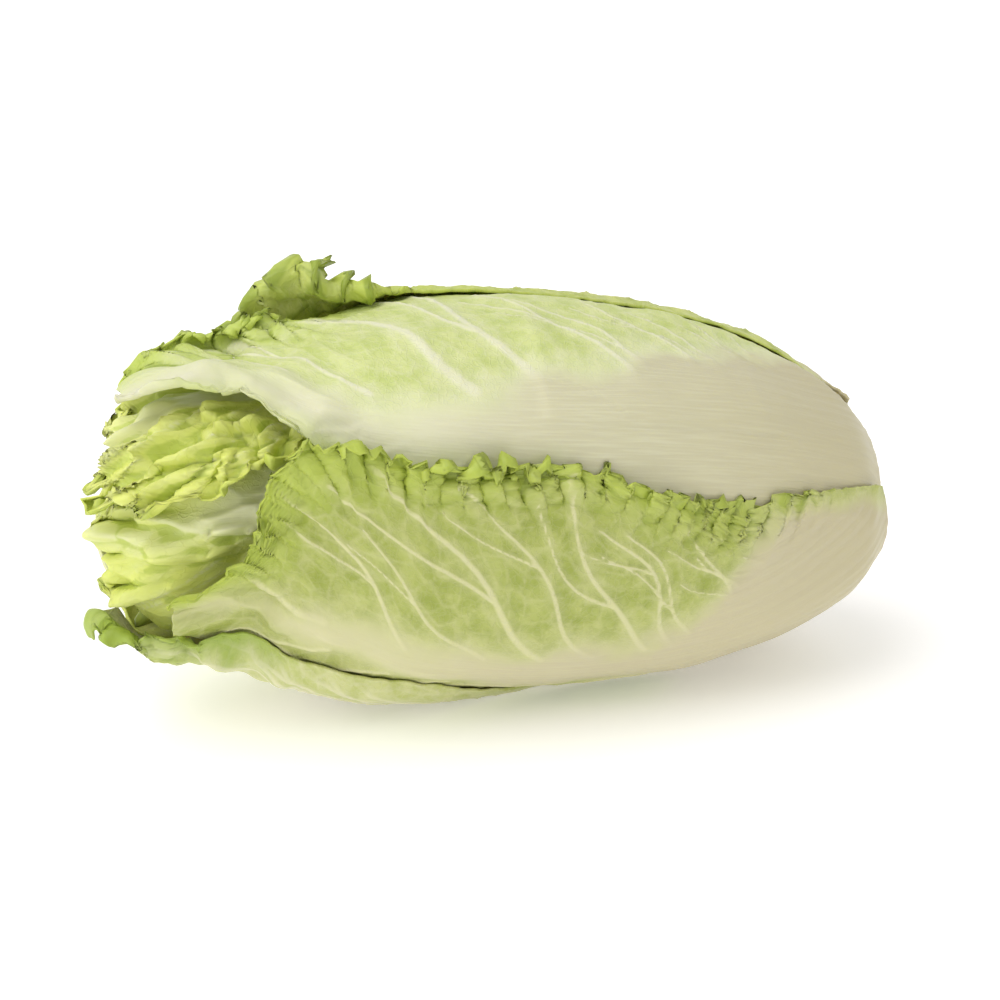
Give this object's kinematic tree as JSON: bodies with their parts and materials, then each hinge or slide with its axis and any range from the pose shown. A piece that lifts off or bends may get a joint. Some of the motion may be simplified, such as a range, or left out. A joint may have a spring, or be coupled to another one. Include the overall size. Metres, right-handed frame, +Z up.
{
  "type": "napa cabbage",
  "caption": "Barrel-shaped head of napa cabbage lying on its side, with frilled overlapping wrapper leaves, broad pale midribs and a cut butt.",
  "frame": {"origin": "the point on the surface that the head lies on, under the middle of its box", "axes": "+X along the head, towards its cut butt; +Z up; -Y towards the front, where the leaf with the frilled upper edge lies"},
  "size_m": [0.3012, 0.147, 0.1617],
  "materials": {
    "stem": "moist cut stem, cream white, browned a little at its edge",
    "heart": "crisp yellow-green inner leaf",
    "inner_leaf": "crisp lime-green leaf with a soft sheen and pale ribs",
    "outer_leaf": "waxy pale green leaf with a glossy cream midrib and net of veins"
  },
  "bodies": {
    "root": {"stem": "stem", "heart": "heart", "leaf_under_back": "inner_leaf", "leaf_under_front": "inner_leaf", "leaf_under_top": "inner_leaf", "leaf_top": "outer_leaf", "leaf_back": "outer_leaf", "leaf_front": "outer_leaf", "leaf_ground": "outer_leaf"}
  },
  "joints": []
}
